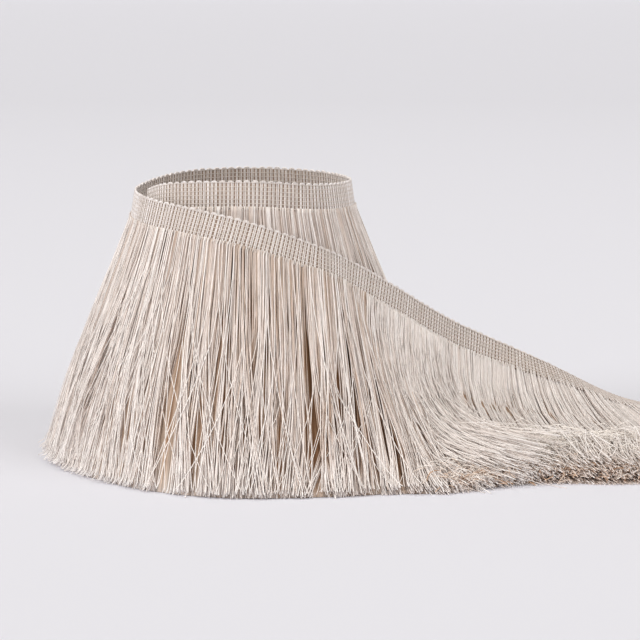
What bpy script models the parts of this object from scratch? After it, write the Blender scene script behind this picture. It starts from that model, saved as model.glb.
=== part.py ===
"""A length of cut fringe trim, set down the way it comes off the card.

A narrow woven heading tape carries a deep curtain of cut yarn. The trim stands on its
fringe in an open loop of a turn and a half, then its outer end runs down to the surface
and lies there with the fringe spread in front of it.

The tape is one solid. The fringe is a row of locks, fused at the roots into narrow strips
that hang just under the tape's lower edge. Every lock ends in a short foot that lies level
on the surface.
"""

import math
import random
from collections import namedtuple

import bmesh
import bpy
from mathutils import Vector

# Driving dimensions, in metres

TAPE_WIDTH = 0.0110
TAPE_THICKNESS = 0.0015
SCALLOP_PITCH = 0.0040
SCALLOP_RISE = 0.0009
RIB_RISE = 0.0004
PIECE_GAP = 0.0003
STRIP_WIDTH = 0.0017
STRIP_THICKNESS = 0.0018
FRINGE_NODES = 12
LOCK_PITCH = 0.0044
LOCK_ROOT_WIDTH = 0.0031
LOCK_MOST_WIDTH = 0.0062
LOCK_END_SHARE = 0.74
LOCK_THICKNESS = 0.0017
LOCK_STEPS = 4
FOOT_LENGTH = 0.006

# How unevenly the locks lie: their ends in and out, and the fullness of their curve
UNEVEN_END = 0.0028
UNEVEN_CURVE = 0.05
UNEVEN_SEED = 7

# The loop's centre, placed so that the whole trim is centred on the part's origin
LOOP_X = -0.0907
LOOP_Y = 0.0217

# The trim's course, in millimetres and degrees from the loop's centre, a row for each section.
# x, y and top place the tape's upper edge, and lean is how far the sheet leans out of upright.
# end_x and end_y are where the cut ends of the fringe rest.
Section = namedtuple("Section", "x y top lean end_x end_y")
COURSE = (
    Section(-47.5, -18.0, 133.0, 8, -80.0, -31.0),
    Section(-34.0, -41.0, 137.8, 9, -55.0, -67.0),
    Section(4.0, -52.0, 139.3, 9, 6.0, -87.0),
    Section(38.0, -37.0, 136.8, 9, 62.0, -60.0),
    Section(53.0, 0.0, 136.6, 8, 101.0, -2.0),
    Section(38.5, 38.0, 138.0, 8, 73.0, 71.0),
    Section(4.0, 52.5, 139.2, 8, 8.0, 101.0),
    Section(-31.0, 39.5, 138.2, 8, -60.0, 78.0),
    Section(-50.0, 10.5, 134.5, 8, -100.0, 21.0),
    Section(-53.7, -12.0, 131.7, 9, -102.0, -31.0),
    Section(-43.5, -39.5, 129.5, 12, -82.0, -79.0),
    Section(-21.0, -58.0, 126.0, 16, -41.0, -124.0),
    Section(4.0, -63.0, 120.3, 22, -3.5, -143.0),
    Section(33.0, -56.0, 109.6, 25, 37.0, -141.0),
    Section(52.5, -42.0, 99.7, 22, 68.0, -133.0),
    Section(75.0, -25.0, 85.4, 17, 98.0, -125.0),
    Section(90.0, -11.0, 74.8, 16, 116.0, -107.0),
    Section(106.0, 3.5, 64.4, 18, 130.0, -97.0),
    Section(122.0, 15.0, 56.0, 25, 147.0, -93.0),
    Section(153.5, 30.0, 40.2, 51, 178.0, -100.0),
    Section(186.0, 46.0, 22.6, 73, 211.0, -99.0),
    Section(205.5, 55.0, 15.3, 82, 232.0, -94.0),
    Section(226.0, 62.0, 10.5, 84, 254.0, -85.0),
    Section(256.0, 71.0, 7.5, 86, 288.0, -70.0),
)

# How a lock hangs, by how far it reaches out for its drop, in degrees. spring is how much it
# springs from the sheet's own direction towards its end, past 1 with a belly, and end_lean is
# how it comes down: a steep lock nearly upright, a long one lying along the surface.
Hang = namedtuple("Hang", "reach spring end_lean")
HANGS = (
    Hang(20, 1.60, 6),
    Hang(35, 1.20, 24),
    Hang(50, 0.40, 62),
    Hang(65, 0.10, 80),
    Hang(88, 0.10, 87),
)

# Length of a curve's handles for the length of its chord
HANDLE_SHARE = 0.36

LINEN = (0.62, 0.54, 0.46, 1.0)
TAPE_LINEN = (0.56, 0.50, 0.43, 1.0)


def clear_scene():
    for thing in list(bpy.data.objects):
        bpy.data.objects.remove(thing, do_unlink=True)


def between(low, high, value):
    return max(low, min(high, value))


def section_at(place):
    """The course at a row number with a fraction, as a smooth curve through the rows."""
    last = len(COURSE) - 1
    row = int(between(0, last - 1, math.floor(place)))
    f = place - row
    before = COURSE[max(row - 1, 0)]
    after = COURSE[min(row + 2, last)]
    smooth = []
    for a, b, c, d in zip(before, COURSE[row], COURSE[row + 1], after):
        bend = (2 * a - 5 * b + 4 * c - d) * f + (3 * b - a - 3 * c + d) * f * f
        smooth.append(b + 0.5 * f * (c - a + bend))
    return Section(*smooth)


def on_surface(x, y, height=0.0):
    """A point given in millimetres from the loop's centre."""
    return Vector((LOOP_X + x / 1000, LOOP_Y + y / 1000, height / 1000))


def upper_edge(place):
    section = section_at(place)
    return on_surface(section.x, section.y, section.top)


def sheet_frame(place):
    """The upper edge's point, and the sheet's directions along, down and out."""
    small = 0.02
    along = (upper_edge(place + small) - upper_edge(place - small)).normalized()
    level_out = Vector((along.y, -along.x, 0)).normalized()
    lean = math.radians(section_at(place).lean)
    fall = level_out * math.sin(lean) - Vector((0, 0, math.cos(lean)))
    down = (fall - along * fall.dot(along)).normalized()
    return upper_edge(place), along, down, down.cross(along)


def places_by_length(steps_per_row=60):
    """Row numbers along the course with the tape's length up to each."""
    count = steps_per_row * (len(COURSE) - 1)
    places = [i / steps_per_row for i in range(count + 1)]
    lengths = [0.0]
    for a, b in zip(places, places[1:]):
        lengths.append(lengths[-1] + (upper_edge(b) - upper_edge(a)).length)
    return places, lengths


def interpolate(value, known, wanted):
    """The wanted list's value where the rising known list has this value."""
    for i in range(1, len(known)):
        if value <= known[i] or i == len(known) - 1:
            f = (value - known[i - 1]) / (known[i] - known[i - 1])
            return wanted[i - 1] + f * (wanted[i] - wanted[i - 1])


PLACES, LENGTHS = places_by_length()
TAPE_LENGTH = LENGTHS[-1]


def place_of(length):
    return interpolate(between(0, TAPE_LENGTH, length), LENGTHS, PLACES)


def loft(bm, rings):
    """Joins rings of corners into a closed bar, and returns its faces, a list for each side."""
    rows = [[bm.verts.new(corner) for corner in ring] for ring in rings]
    sides = [[] for _ in rows[0]]
    for near, far in zip(rows, rows[1:]):
        for i in range(len(near)):
            j = (i + 1) % len(near)
            sides[i].append(bm.faces.new((near[i], near[j], far[j], far[i])))
    bm.faces.new(rows[0])
    bm.faces.new(rows[-1])
    return sides


def sheet_ring(place, upper, lower, thickness, rise=0.0):
    """The corners of a cut across the sheet: out and in at the lower edge, in and out above."""
    edge, _, down, out = sheet_frame(place)
    front = out * (thickness / 2 + rise)
    back = out * (-thickness / 2)
    low = edge + down * lower
    high = edge + down * upper
    return low + front, low + back, high + back, high + front


def make_object(name, bm, material, collection):
    bmesh.ops.recalc_face_normals(bm, faces=bm.faces)
    mesh = bpy.data.meshes.new(name)
    bm.to_mesh(mesh)
    bm.free()
    made = bpy.data.objects.new(name, mesh)
    made.data.materials.append(material)
    collection.objects.link(made)
    return made


def make_material(name, colour, roughness):
    material = bpy.data.materials.new(name)
    material.use_nodes = True
    shader = material.node_tree.nodes["Principled BSDF"]
    shader.inputs["Base Color"].default_value = colour
    shader.inputs["Roughness"].default_value = roughness
    shader.inputs["Metallic"].default_value = 0.0
    return material


def make_tape(material, collection):
    """The woven heading: ribs on its outer face, and small loops along its upper edge."""
    columns = 2 * round(TAPE_LENGTH / SCALLOP_PITCH)
    rings = []
    for i in range(columns + 1):
        raised = i % 2
        upper = -SCALLOP_RISE * raised
        place = place_of(TAPE_LENGTH * i / columns)
        rings.append(sheet_ring(place, upper, TAPE_WIDTH, TAPE_THICKNESS, RIB_RISE * raised))
    bm = bmesh.new()
    loft(bm, rings)
    return make_object("heading_tape", bm, material, collection)


def lock_line(place, further=0.0, fuller=1.0):
    """A lock's underside as points from root to foot, and the direction across each point."""
    edge, along, down, out = sheet_frame(place)
    root = edge + down * (TAPE_WIDTH + PIECE_GAP + STRIP_WIDTH) - out * (STRIP_THICKNESS / 2)
    section = section_at(place)
    end = on_surface(section.end_x, section.end_y)
    level = Vector((end.x - root.x, end.y - root.y, 0))
    reach = math.degrees(math.atan2(level.length, root.z))
    level.normalize()
    end += level * further
    landing = end - level * FOOT_LENGTH
    chord = landing - root
    reaches = [hang.reach for hang in HANGS]
    spring = interpolate(reach, reaches, [hang.spring for hang in HANGS])
    end_lean = math.radians(interpolate(reach, reaches, [hang.end_lean for hang in HANGS]))
    arrival = level * math.sin(end_lean) - Vector((0, 0, math.cos(end_lean)))
    leaving = (down + (chord.normalized() - down) * spring).normalized()
    handle = chord.length * HANDLE_SHARE * fuller
    controls = (root, root + leaving * handle, landing - arrival * handle, landing)
    across_end = Vector((0, 0, 1)).cross(level)
    if across_end.dot(along) < 0:
        across_end.negate()
    points = []
    for i in range(1, LOCK_STEPS + 1):
        t = i / LOCK_STEPS
        weights = ((1 - t) ** 3, 3 * t * (1 - t) ** 2, 3 * t * t * (1 - t), t**3)
        point = sum((c * w for c, w in zip(controls, weights)), Vector())
        points.append((point, along.lerp(across_end, t)))
    points.append((end, across_end))
    return root, points


def end_spacing(place, length):
    """How far apart neighbouring locks rest at their ends, measured across them."""
    near = lock_line(place_of(length - LOCK_PITCH / 2))[1][-1]
    far = lock_line(place_of(length + LOCK_PITCH / 2))[1][-1]
    across = lock_line(place)[1][-1][1]
    return abs((far[0] - near[0]).dot(across))


def lock_rings(length, chance):
    """The four corners of a lock at each point of its line, in the order of its root face."""
    place = place_of(length)
    further = UNEVEN_END * chance.uniform(-1, 1)
    root, points = lock_line(place, further, 1 + UNEVEN_CURVE * chance.uniform(-1, 1))
    spacing = end_spacing(place, between(LOCK_PITCH, TAPE_LENGTH - LOCK_PITCH, length))
    end_width = min(LOCK_MOST_WIDTH, LOCK_END_SHARE * spacing)
    rings = []
    before = root
    for i, (point, across) in enumerate(points):
        following = points[i + 1][0] if i + 1 < len(points) else point
        tangent = (following - before).normalized()
        if i < LOCK_STEPS - 1:
            across = across - tangent * across.dot(tangent)
        across.normalize()
        out = tangent.cross(across).normalized()
        if i == len(points) - 1:
            out = Vector((0, 0, 1))
        share = (i + 1) / len(points)
        half = across * (LOCK_ROOT_WIDTH + share * (end_width - LOCK_ROOT_WIDTH)) / 2
        upper = point + out * LOCK_THICKNESS
        rings.append((upper - half, point - half, point + half, upper + half))
        before = point
    return rings


def make_fringe(number, material, collection):
    """One strip below the tape's edge with the locks that grow from its underside."""
    chance = random.Random(UNEVEN_SEED + number)
    share = TAPE_LENGTH / FRINGE_NODES
    start = share * number + PIECE_GAP
    stretch = share - 2 * PIECE_GAP
    count = round(stretch / LOCK_PITCH)
    pitch = stretch / count
    centres = [start + pitch * (i + 0.5) for i in range(count)]
    stops = [start]
    for centre in centres:
        stops += [centre - LOCK_ROOT_WIDTH / 2, centre + LOCK_ROOT_WIDTH / 2]
    stops.append(start + stretch)
    upper = TAPE_WIDTH + PIECE_GAP
    rings = [
        sheet_ring(place_of(stop), upper, upper + STRIP_WIDTH, STRIP_THICKNESS) for stop in stops
    ]
    bm = bmesh.new()
    underside = loft(bm, rings)[0]
    bmesh.ops.recalc_face_normals(bm, faces=bm.faces)
    for centre, face in zip(centres, underside[1::2]):
        pull_lock(bm, face, lock_rings(centre, chance))
    return make_object(f"fringe_{number + 1:02d}", bm, material, collection)


def pull_lock(bm, face, rings):
    """Extrudes a face of the strip's underside along a lock's line."""
    corners = nearest_corners(face, rings[0])
    for ring in rings:
        face = bmesh.ops.extrude_discrete_faces(bm, faces=[face])["faces"][0]
        for vert, corner in zip(face.verts, corners):
            vert.co = ring[corner]


def nearest_corners(face, ring):
    """Which corner of a ring each vertex of a face is pulled to."""
    centre = face.calc_center_median()
    middle = sum(ring, Vector()) / len(ring)
    return [
        min(range(len(ring)), key=lambda i: ((ring[i] - middle) - (v.co - centre)).length)
        for v in face.verts
    ]


def main():
    clear_scene()
    trim = bpy.data.collections.new("fringe_trim")
    bpy.context.scene.collection.children.link(trim)
    make_tape(make_material("woven tape", TAPE_LINEN, 0.9), trim)
    yarn = make_material("cut yarn", LINEN, 0.85)
    for number in range(FRINGE_NODES):
        make_fringe(number, yarn, trim)


main()
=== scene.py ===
"""The looks of a length of cut fringe trim, standing on its fringe in a loop and a half.

Every yarn of the fringe is its own tube. It follows the surface in which the fringe hangs, and
departs from it in wisps, in a twist inside each wisp, and in stray yarns that cross the rest.
The heading is woven: hairpins of weft make its ribs and its looped edge, and thin warp threads
pass over and under them. Lengths are in metres, except in the tables of the course and of the
swept yarns, which are in millimetres.
"""

import math
from collections import namedtuple

import bpy
import numpy as np
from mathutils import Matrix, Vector


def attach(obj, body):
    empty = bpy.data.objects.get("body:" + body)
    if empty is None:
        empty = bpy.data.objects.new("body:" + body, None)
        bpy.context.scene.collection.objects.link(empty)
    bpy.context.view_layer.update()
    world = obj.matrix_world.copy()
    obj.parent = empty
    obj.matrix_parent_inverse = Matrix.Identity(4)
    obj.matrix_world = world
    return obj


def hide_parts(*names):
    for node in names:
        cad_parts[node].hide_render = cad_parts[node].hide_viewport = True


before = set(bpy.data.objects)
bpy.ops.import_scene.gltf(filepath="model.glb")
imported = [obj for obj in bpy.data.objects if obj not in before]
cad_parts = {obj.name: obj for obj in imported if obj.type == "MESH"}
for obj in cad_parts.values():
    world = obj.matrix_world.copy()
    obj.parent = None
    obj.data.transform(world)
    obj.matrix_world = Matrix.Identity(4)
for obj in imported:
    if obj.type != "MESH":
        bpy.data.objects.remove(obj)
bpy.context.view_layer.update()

# The trim's course, in millimetres and degrees from the loop's centre, a row for each section.
# x, y and top place the tape's upper edge, and lean is how far the sheet leans out of upright.
# end_x and end_y are where the cut ends of the fringe rest.
Section = namedtuple("Section", "x y top lean end_x end_y")
COURSE = (
    Section(-47.5, -18.0, 133.0, 8, -80.0, -31.0),
    Section(-34.0, -41.0, 137.8, 9, -55.0, -67.0),
    Section(4.0, -52.0, 139.3, 9, 6.0, -87.0),
    Section(38.0, -37.0, 136.8, 9, 62.0, -60.0),
    Section(53.0, 0.0, 136.6, 8, 98.0, -2.0),
    Section(38.5, 38.0, 138.0, 8, 73.0, 71.0),
    Section(4.0, 52.5, 139.2, 8, 8.0, 101.0),
    Section(-31.0, 39.5, 138.2, 8, -58.0, 76.0),
    Section(-50.0, 10.5, 134.5, 8, -94.0, 22.0),
    Section(-53.7, -12.0, 131.7, 9, -94.5, -28.0),
    Section(-43.5, -39.5, 129.5, 12, -78.0, -77.0),
    Section(-21.0, -58.0, 126.0, 16, -41.0, -124.0),
    Section(4.0, -63.0, 120.3, 22, -3.5, -143.0),
    Section(33.0, -56.0, 109.6, 25, 37.0, -141.0),
    Section(52.5, -42.0, 99.7, 22, 68.0, -133.0),
    Section(75.0, -25.0, 85.4, 17, 98.0, -130.0),
    Section(90.0, -11.0, 74.8, 16, 116.0, -117.0),
    Section(106.0, 3.5, 64.4, 18, 130.0, -108.0),
    Section(122.0, 15.0, 56.0, 25, 147.0, -103.0),
    Section(153.5, 30.0, 40.2, 51, 178.0, -105.0),
    Section(186.0, 46.0, 22.6, 73, 211.0, -99.0),
    Section(205.5, 55.0, 15.3, 82, 232.0, -94.0),
    Section(226.0, 62.0, 10.5, 84, 254.0, -85.0),
    Section(256.0, 71.0, 7.5, 86, 288.0, -70.0),
)
LOOP_CENTRE = np.array((-0.0907, 0.0217, 0.0))

# The heading's width, how far up behind it the yarns start, and the solids' thicknesses
HEADING_WIDTH = 0.0138
TUCK = 0.0014
STRIP_THICKNESS = 0.0018
LOCK_THICKNESS = 0.0017

# Where the fringe starts to bend, how far its cut end turns out on the surface, and how long
# the curve's handles are for its chord
ROOT_BELOW_EDGE = 0.0150
TIP_TURN = 0.0014
HANDLE_SHARE = 0.36

# How a yarn hangs, by how far it reaches out for its drop, in degrees
Hang = namedtuple("Hang", "reach spring end_lean")
HANGS = (
    Hang(20, 1.15, 14),
    Hang(35, 1.15, 26),
    Hang(50, 0.40, 62),
    Hang(65, 0.10, 80),
    Hang(88, 0.10, 87),
)

# How many yarns hang, stray across the rest, curl on the flat end's pile, and sweep over it,
# and the least height of a yarn's middle over the surface
YARNS = 6250
STRAYS = 640
FLUFF = 3200
SWEPT = 760
YARN_RADIUS = 0.00024
STRAY_RADIUS = 0.00020
YARN_SIDES = 4
FLUFF_POINTS = 5
LEAST_HEIGHT = YARN_RADIUS * 1.05

RIB_PITCH = 0.0020
FRINGE_PIECES = 12
SEED = 11

# The camera stands where the photograph was taken from
CAMERA_PLACE = (-0.0529, -1.4683, 0.2415)
CAMERA_PITCH = math.atan(352 / 2980)
FOCAL_PIXELS = 2980
PICTURE_PIXELS = 640
SENSOR = 36.0


def smooth(low, high, value):
    """0 below low, 1 above high, and a soft step between."""
    t = np.clip((value - low) / (high - low), 0, 1)
    return t * t * (3 - 2 * t)


def unit(vectors):
    """The vectors' directions, each of length 1."""
    return vectors / np.linalg.norm(vectors, axis=-1, keepdims=True)


def dot(a, b):
    """The vectors' products, kept as a column."""
    return (a * b).sum(axis=-1, keepdims=True)


def course_at(places):
    """The course at row numbers with fractions, as a smooth curve through the rows."""
    rows = np.array(COURSE)
    last = len(rows) - 1
    row = np.clip(np.floor(places), 0, last - 1).astype(int)
    f = (places - row)[:, None]
    a, b = rows[np.maximum(row - 1, 0)], rows[row]
    c, d = rows[row + 1], rows[np.minimum(row + 2, last)]
    bend = (2 * a - 5 * b + 4 * c - d) * f + (3 * b - a - 3 * c + d) * f * f
    return b + 0.5 * f * (c - a + bend)


def upper_edge(places):
    """The tape's upper edge at row numbers with fractions, in metres."""
    return LOOP_CENTRE + course_at(places)[:, :3] / 1000


def sheet_frames(places):
    """The upper edge's points, and the sheet's directions along, down and out at each."""
    small = 0.02
    along = unit(upper_edge(places + small) - upper_edge(places - small))
    level_out = unit(np.stack((along[:, 1], -along[:, 0], 0 * along[:, 0]), axis=1))
    lean = np.radians(course_at(places)[:, 3:4])
    fall = level_out * np.sin(lean) - np.array((0, 0, 1)) * np.cos(lean)
    down = unit(fall - along * dot(fall, along))
    return upper_edge(places), along, down, np.cross(down, along)


def measure_course(steps_per_row=60):
    """Row numbers along the course, and the tape's length up to each."""
    places = np.linspace(0, len(COURSE) - 1, steps_per_row * (len(COURSE) - 1) + 1)
    steps = np.linalg.norm(np.diff(upper_edge(places), axis=0), axis=1)
    return places, np.concatenate(((0.0,), np.cumsum(steps)))


PLACES, LENGTHS = measure_course()
TAPE_LENGTH = LENGTHS[-1]


def place_of(lengths):
    """The row numbers, with fractions, at these lengths along the tape."""
    return np.interp(lengths, LENGTHS, PLACES)


# The fringe's surface, as a grid of points: a column for each step along the tape, and in it
# points from the tape down to the cut ends
GRID_STEP = 0.001
GRID_MARGIN = 0.014
BEND_STEPS = (0.0, 0.12, 0.26, 0.41, 0.56, 0.70, 0.82, 0.92)
FOOT_STEPS = (0.5, 1.0)


def hanging_columns(places):
    """For each place, points of the fringe's inner face from tape to cut end."""
    edge, _, down, out = sheet_frames(places)
    start = edge + down * (HEADING_WIDTH - TUCK) - out * (STRIP_THICKNESS / 2)
    root = edge + down * ROOT_BELOW_EDGE - out * (STRIP_THICKNESS / 2)
    end = LOOP_CENTRE + np.pad(course_at(places)[:, 4:6], ((0, 0), (0, 1))) / 1000
    level = (end - root) * (1, 1, 0)
    reach = np.degrees(np.arctan2(np.linalg.norm(level, axis=1), root[:, 2]))
    level = unit(level)
    landing = end - level * TIP_TURN
    chord = landing - root
    table = np.array(HANGS).T
    spring = np.interp(reach, table[0], table[1])[:, None]
    end_lean = np.radians(np.interp(reach, table[0], table[2]))[:, None]
    arrival = level * np.sin(end_lean) - np.array((0, 0, 1)) * np.cos(end_lean)
    leaving = unit(down + (unit(chord) - down) * spring)
    handle = np.linalg.norm(chord, axis=1, keepdims=True) * HANDLE_SHARE
    near, far = root + leaving * handle, landing - arrival * handle

    def bend(t):
        s = 1 - t
        return s**3 * root + 3 * t * s * s * near + 3 * t * t * s * far + t**3 * landing

    columns = [start] + [bend(t) for t in BEND_STEPS]
    above = columns[-1]
    for u in FOOT_STEPS:
        columns.append((1 - u) ** 2 * above + 2 * u * (1 - u) * landing + u * u * end)
    return np.stack(columns, axis=1), level


def make_surface():
    """The grid of the fringe's middle surface, its outward directions and its level ones."""
    count = int(round(TAPE_LENGTH / GRID_STEP))
    inside = np.linspace(0, TAPE_LENGTH, count + 1)
    columns, level = hanging_columns(place_of(inside))
    margin = int(round(GRID_MARGIN / GRID_STEP))
    reach = np.arange(1, margin + 1)[:, None, None]
    first, last = columns[0] - columns[3], columns[-1] - columns[-4]
    before = columns[0] + first / 3 * reach[::-1]
    after = columns[-1] + last / 3 * reach
    columns = np.concatenate((before, columns, after))
    level = np.pad(level, ((margin, margin), (0, 0)), mode="edge")
    across = np.gradient(columns, axis=0)
    downward = np.gradient(columns, axis=1)
    outward = unit(np.cross(downward, across))
    columns = columns + outward * (LOCK_THICKNESS / 2)
    return columns, outward, level


SURFACE, OUTWARD, LEVEL = make_surface()
POINTS = SURFACE.shape[1]
STRETCHES = np.linalg.norm(np.diff(SURFACE, axis=1), axis=2).mean(axis=0)
DOWN_SHARE = np.concatenate(((0.0,), np.cumsum(STRETCHES))) / STRETCHES.sum()


def on_grid(values, lengths):
    """A grid's values at these lengths along the tape, a row for each yarn."""
    most = len(values) - 1.001
    spot = np.clip((lengths + GRID_MARGIN) / GRID_STEP, 0, most)
    low = spot.astype(int)
    f = (spot - low)[..., None]
    if values.ndim == 2:
        return values[low] * (1 - f) + values[low + 1] * f
    point = np.broadcast_to(np.arange(POINTS), lengths.shape)
    return values[low, point] * (1 - f) + values[low + 1, point] * f


def mesh_piece(name, vertices, faces, corners, material, tints=None, uvs=None):
    """An object from arrays of vertices and of faces with the same number of corners."""
    mesh = bpy.data.meshes.new(name)
    total = sum(len(f) for f in faces)
    loops = np.concatenate([f.ravel() for f in faces]).astype(np.int32)
    sizes = np.concatenate([np.full(len(f), c) for f, c in zip(faces, corners)])
    mesh.vertices.add(len(vertices))
    mesh.vertices.foreach_set("co", vertices.astype(np.float32).ravel())
    mesh.loops.add(len(loops))
    mesh.loops.foreach_set("vertex_index", loops)
    mesh.polygons.add(total)
    starts = np.concatenate(((0,), np.cumsum(sizes)[:-1])).astype(np.int32)
    mesh.polygons.foreach_set("loop_start", starts)
    mesh.polygons.foreach_set("use_smooth", np.ones(total, bool))
    if uvs is not None:
        layer = mesh.uv_layers.new(name="yarn")
        layer.data.foreach_set("uv", uvs.astype(np.float32).ravel())
    if tints is not None:
        mesh.attributes.new("tint", "FLOAT", "POINT")
        mesh.attributes["tint"].data.foreach_set("value", tints.astype(np.float32))
    mesh.update(calc_edges=True)
    mesh.validate()
    made = bpy.data.objects.new(name, mesh)
    mesh.materials.append(material)
    bpy.context.scene.collection.objects.link(made)
    return made


# Each tube's texture starts this much further along than the last one's, so that no two match
UV_OFFSET = 0.37


def tubes(name, paths, facing, radii, sides, material, tints, flat=1.0):
    """Closed tubes along paths, as one object.

    paths and facing are arrays of yarn, point and direction. radii has a number for each point
    of each yarn, flat is a tube's depth along facing for its width, and tints has a number for
    each yarn or for each of its points.
    """
    count, points = paths.shape[:2]
    tangent = unit(np.gradient(paths, axis=1))
    side = unit(np.cross(tangent, facing))
    front = np.cross(side, tangent)
    angle = 2 * np.pi * (np.arange(sides) + 0.5) / sides
    wide = side[:, :, None] * np.cos(angle)[:, None]
    deep = front[:, :, None] * np.sin(angle)[:, None] * flat
    rings = paths[:, :, None] + radii[:, :, None, None] * (wide + deep)
    index = np.arange(count * points * sides).reshape(count, points, sides)
    near, far = index[:, :-1], index[:, 1:]
    quads = np.stack((near, np.roll(near, -1, 2), np.roll(far, -1, 2), far), axis=-1)
    quads = quads.reshape(-1, 4)
    caps = np.concatenate((index[:, 0, ::-1], index[:, -1]))
    steps = np.linalg.norm(np.diff(paths, axis=1), axis=2)
    length = np.concatenate((np.zeros((count, 1)), np.cumsum(steps, axis=1)), axis=1)
    start = np.arange(count)[:, None, None] * UV_OFFSET
    low = np.broadcast_to(length[:, :-1, None] + start, near.shape)
    high = np.broadcast_to(length[:, 1:, None] + start, near.shape)
    left = np.broadcast_to(np.arange(sides) / sides, near.shape)
    right = left + 1 / sides
    round_uv = np.stack((left, low, right, low, right, high, left, high), axis=-1)
    cap_uv = np.stack((np.arange(sides) / sides, np.zeros(sides)), axis=1)
    uvs = np.concatenate((round_uv.ravel(), np.tile(cap_uv.ravel(), 2 * count)))
    each = np.repeat(np.broadcast_to(tints, (count, points)).ravel(), sides)
    return mesh_piece(name, rings.reshape(-1, 3), [quads, caps], [4, sides], material, each, uvs)


def ring_walls(rings):
    """Numbers for the points of closed rings, and the faces between each ring and the next."""
    sides = rings.shape[1]
    index = np.arange(rings.shape[0] * sides).reshape(-1, sides)
    near, far = index[:-1], index[1:]
    walls = np.stack((near, far, np.roll(far, -1, 1), np.roll(near, -1, 1)), axis=-1)
    return index, walls.reshape(-1, 4)


class Wisps:
    """Neighbouring yarns gathered in wisps, each with its own drift from the surface.

    Every value is a column with a row for each yarn. drift, swing, sway, lift and tone are
    shares of an amount, phase and turn are angles, and tight is how little the wisp draws in.
    """

    def __init__(self, chance, lengths, spacing):
        steps = chance.gamma(4.0, spacing / 4.0, int(3 * TAPE_LENGTH / spacing))
        centres = np.cumsum(steps) - 2 * spacing
        centres = centres[centres < TAPE_LENGTH + 2 * spacing]
        middles = (centres[1:] + centres[:-1]) / 2
        mine = np.searchsorted(middles, lengths)
        self.centre = centres[mine][:, None]

        def each(values):
            return values[mine][:, None]

        many = len(centres)
        self.drift = each(np.clip(chance.normal(0, 1, many), -2, 2))
        self.swing = each(np.clip(chance.normal(0, 1, many), -2, 2))
        self.sway = each(chance.normal(0, 1, many))
        self.phase = each(chance.uniform(0, 2 * np.pi, many))
        self.lift = each(chance.normal(0, 1, many))
        self.turn = each(chance.uniform(-2.2, 2.2, many))
        self.tight = each(chance.uniform(0.32, 0.85, many))
        self.tone = each(chance.normal(0, 1, many))


# The fringe lies in three layers. spacing is how far apart a layer's wisps are, loose is how
# freely they part, swing is how far their ends go to the side, and level is where it lies.
# LAYER_DEPTHS are the layers' bounds, in depths from 0, innermost, to 1, outermost.
Layer = namedtuple("Layer", "spacing loose swing level")
LAYERS = (
    Layer(0.0060, 0.15, 0.0020, -0.7),
    Layer(0.0046, 1.0, 0.0036, 0.0),
    Layer(0.0038, 1.0, 0.0046, 1.0),
)
LAYER_DEPTHS = (0, 0.32, 0.66, 1)

# How far apart the layers are at the root and further down, and how thick each one is
ROOT_LAYER = 0.00045
FULL_LAYER = 0.0010
LAYER_THICKNESS = 0.0011

# A few yarns make a strand, a few strands a wisp, and a few wisps a lock. These are the
# spacings, and how far each kind strays along the tape or lifts off the surface by its end.
STRAND_SPACING = 0.0011
STRAND_DRIFT = 0.0011
STRAND_LIFT = 0.0003
WISP_DRIFT = 0.0030
WISP_SWAY = 0.0009
WISP_LIFT = 0.0011
LOCK_SPACING = 0.0120
LOCK_SWING = 0.0018
LOCK_PULL = 0.5
YARN_DRIFT = 0.0014
YARN_WAVE = 0.00034
YARN_LIFT = 0.00030
TIP_CURL = 0.0005

# The spread of the tints of strands, of wisps and of single yarns
STRAND_TINT = 0.06
WISP_TINT = 0.05
YARN_TINT = 0.12


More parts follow.
